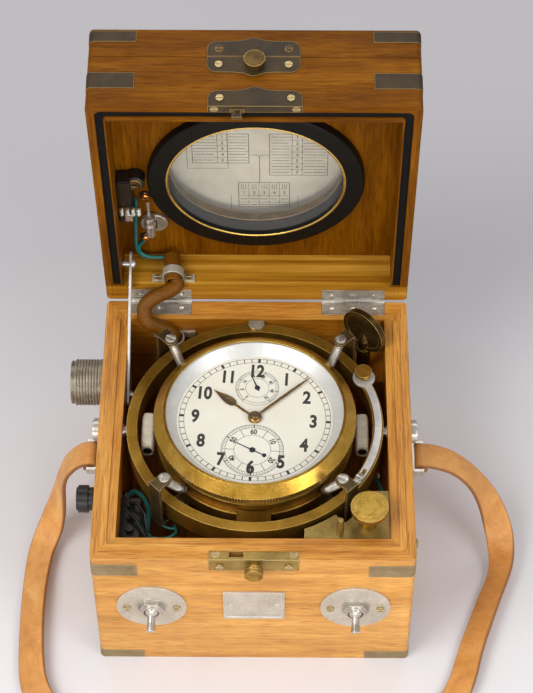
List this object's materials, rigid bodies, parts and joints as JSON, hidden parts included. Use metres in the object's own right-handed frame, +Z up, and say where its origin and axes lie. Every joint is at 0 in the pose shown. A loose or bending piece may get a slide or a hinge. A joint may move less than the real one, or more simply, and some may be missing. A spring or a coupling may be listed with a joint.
{
  "type": "marine chronometer in case",
  "caption": "Marine chronometer on gimbals in a two-lid oak carrying case, lid open, with lock, switches, connector, lamp, winding key and leather strap.",
  "frame": {"origin": "centre of the case's underside", "axes": "+Z up, +X to the right of someone facing the front, +Y to the hinge side at the back"},
  "size_m": [0.3217, 0.3282, 0.3254],
  "materials": {
    "oak": "varnished",
    "oak_dark": "varnished",
    "strap_bronze": "aged",
    "lock_brass": "aged",
    "screw_brass": "worn",
    "plate_alu": "matt",
    "nickel": "satin",
    "steel": "polished",
    "black_plastic": "satin",
    "black_paint": "satin",
    "leather": "worn",
    "sleeve": "varnished cloth",
    "wire": "matt",
    "rubber": "matt",
    "glass": "clear",
    "card": "matt",
    "gimbal_brass": "lacquered",
    "bezel_brass": "polished",
    "gold": "polished",
    "blued": "blued steel",
    "dial_silver": "silvered",
    "rehaut_silver": "satin",
    "dark_bronze": "aged",
    "pad_cloth": "woven"
  },
  "bodies": {
    "case": {"case_box": "oak", "case_straps": "strap_bronze", "lower_lock_plate": "lock_brass", "case_screws": "screw_brass", "switch_plates": "plate_alu", "switch_bushings": "nickel", "nameplate": "plate_alu", "connector_shell": "nickel", "connector_insert": "black_plastic", "fuse_base": "black_plastic", "gimbal_bearings": "nickel", "strap_lugs": "nickel", "carry_strap": "leather", "corner_plate": "lock_brass", "terminal_block": "black_plastic", "hinge_leaves_case": "nickel", "case_clamp": "plate_alu", "cable_sleeve": "sleeve"},
    "left_switch_lever": {"toggle_left": "nickel"},
    "right_switch_lever": {"toggle_right": "nickel"},
    "lower_knob": {"lower_lock_knob": "dark_bronze"},
    "fuse": {"fuse_cap": "black_plastic"},
    "key": {"winding_key": "dark_bronze"},
    "knob": {"stop_knob": "dark_bronze"},
    "lid": {"lid_frame": "oak_dark", "window_ring": "black_paint", "window_glass": "glass", "lid_gasket": "rubber", "lid_fittings": "strap_bronze", "lid_screws": "screw_brass", "lamp_holder": "nickel", "lid_clamp": "plate_alu", "hinge_leaves_lid": "nickel", "lid_wires": "wire"},
    "upper_knob": {"upper_lock_knob": "dark_bronze"},
    "outer": {"outer_lid": "oak_dark", "outer_fittings": "strap_bronze", "diagram_card": "card"},
    "stay": {"stay_arm": "steel"},
    "gimbal": {"gimbal_ring": "gimbal_brass", "ring_pivots": "nickel"},
    "arc": {"lock_arc": "steel"},
    "arc_knob": {"thumb_knob": "bezel_brass"},
    "bowl": {"bowl_shell": "gimbal_brass", "bezel": "bezel_brass", "crystal": "glass", "dial": "dial_silver", "rehaut": "rehaut_silver", "spring_arms": "dark_bronze", "strut_springs": "nickel", "side_pads": "pad_cloth", "movement_plates": "gimbal_brass"},
    "minute": {"minute_hand": "gold", "centre_wheel": "gold"},
    "hour": {"hour_hand": "gold"},
    "seconds": {"seconds_hand": "blued"},
    "updown": {"updown_hand": "blued"},
    "fusee_arbor": {"fusee": "gimbal_brass"},
    "spring_barrel": {"barrel": "gimbal_brass"},
    "balance_wheel": {"balance": "gold"}
  },
  "joints": [
    {"name": "left_switch", "type": "hinge", "parent": "case", "child": "left_switch_lever", "pos_m": [-0.0628, -0.1035, 0.063], "axis": [-1, 0, 0], "range_deg": [0, 44]},
    {"name": "right_switch", "type": "hinge", "parent": "case", "child": "right_switch_lever", "pos_m": [0.0628, -0.1035, 0.063], "axis": [-1, 0, 0], "range_deg": [0, 44]},
    {"name": "lower_lock_press", "type": "slide", "parent": "case", "child": "lower_knob", "axis": [0, 1, 0], "range_m": [0, 0.0025], "stiffness_N_per_m": 200},
    {"name": "fuse_pull", "type": "slide", "parent": "case", "child": "fuse", "axis": [-1, 0, 0], "range_m": [0, 0.01]},
    {"name": "key_lift", "type": "slide", "parent": "case", "child": "key", "axis": [0, 0, 1], "range_m": [0, 0.04]},
    {"name": "stop_turn", "type": "hinge", "parent": "case", "child": "knob", "pos_m": [0.07, -0.0715, 0.115], "axis": [0, 0, 1], "continuous": true},
    {"name": "lid_hinge", "type": "hinge", "parent": "case", "child": "lid", "pos_m": [0, 0.1008, 0.1153], "axis": [-1, 0, 0], "range_deg": [-84, 0], "deforming": ["cable_sleeve"]},
    {"name": "upper_lock_press", "type": "slide", "parent": "lid", "child": "upper_knob", "axis": [0, 0.1045, -0.9945], "range_m": [0, 0.0023], "stiffness_N_per_m": 200},
    {"name": "outer_hinge", "type": "hinge", "parent": "lid", "child": "outer", "pos_m": [0, 0.13825, 0.11773], "axis": [-1, 0, 0], "range_deg": [0, 95]},
    {"name": "stay_swing", "type": "hinge", "parent": "lid", "child": "stay", "pos_m": [-0.082, 0.11052, 0.14045], "axis": [-1, 0, 0], "range_deg": [-1, 79]},
    {"name": "gimbal_roll", "type": "hinge", "parent": "case", "child": "gimbal", "pos_m": [0, 0.0012, 0.10675], "axis": [1, 0, 0], "range_deg": [-4, 4]},
    {"name": "gimbal_pitch", "type": "hinge", "parent": "gimbal", "child": "bowl", "pos_m": [0, 0.0012, 0.1023], "axis": [0, 1, 0], "range_deg": [-4, 4]},
    {"name": "arc_slide", "type": "hinge", "parent": "gimbal", "child": "arc", "pos_m": [0, 0.0012, 0.115], "axis": [0, 0, 1], "range_deg": [-5, 0]},
    {"name": "arc_knob_turn", "type": "hinge", "parent": "gimbal", "child": "arc_knob", "pos_m": [0.06848, 0.03792, 0.118], "axis": [0, 0, 1], "continuous": true},
    {"name": "minute_turn", "type": "hinge", "parent": "bowl", "child": "minute", "pos_m": [0, 0.0012, 0.1205], "axis": [0, 0, 1], "continuous": true},
    {"name": "hour_turn", "type": "hinge", "parent": "bowl", "child": "hour", "pos_m": [0, 0.0012, 0.1205], "axis": [0, 0, 1], "continuous": true},
    {"name": "seconds_turn", "type": "hinge", "parent": "bowl", "child": "seconds", "pos_m": [-0.00127, -0.02297, 0.1198], "axis": [0, 0, 1], "continuous": true},
    {"name": "fusee_turn", "type": "hinge", "parent": "bowl", "child": "fusee_arbor", "pos_m": [0.026, 0.0092, 0.095], "axis": [0, 0, 1], "continuous": true},
    {"name": "barrel_turn", "type": "hinge", "parent": "bowl", "child": "spring_barrel", "pos_m": [-0.026, 0.0092, 0.095], "axis": [0, 0, 1], "continuous": true},
    {"name": "updown_turn", "type": "hinge", "parent": "bowl", "child": "updown", "pos_m": [0.00127, 0.02537, 0.1198], "axis": [0, 0, 1], "range_deg": [-150, 150]},
    {"name": "balance_swing", "type": "hinge", "parent": "bowl", "child": "balance_wheel", "pos_m": [0, 0.0342, 0.077], "axis": [0, 0, 1], "range_deg": [-200, 200], "stiffness_Nm_per_rad": 0.0004}
  ],
  "couplings": [
    {"joint": "stay_swing", "follows": "lid_hinge", "ratio": -0.931},
    {"joint": "hour_turn", "follows": "minute_turn", "ratio": 0.083333},
    {"joint": "seconds_turn", "follows": "minute_turn", "ratio": 60},
    {"joint": "fusee_turn", "follows": "minute_turn", "ratio": -0.20833},
    {"joint": "barrel_turn", "follows": "minute_turn", "ratio": -0.20833}
  ]
}
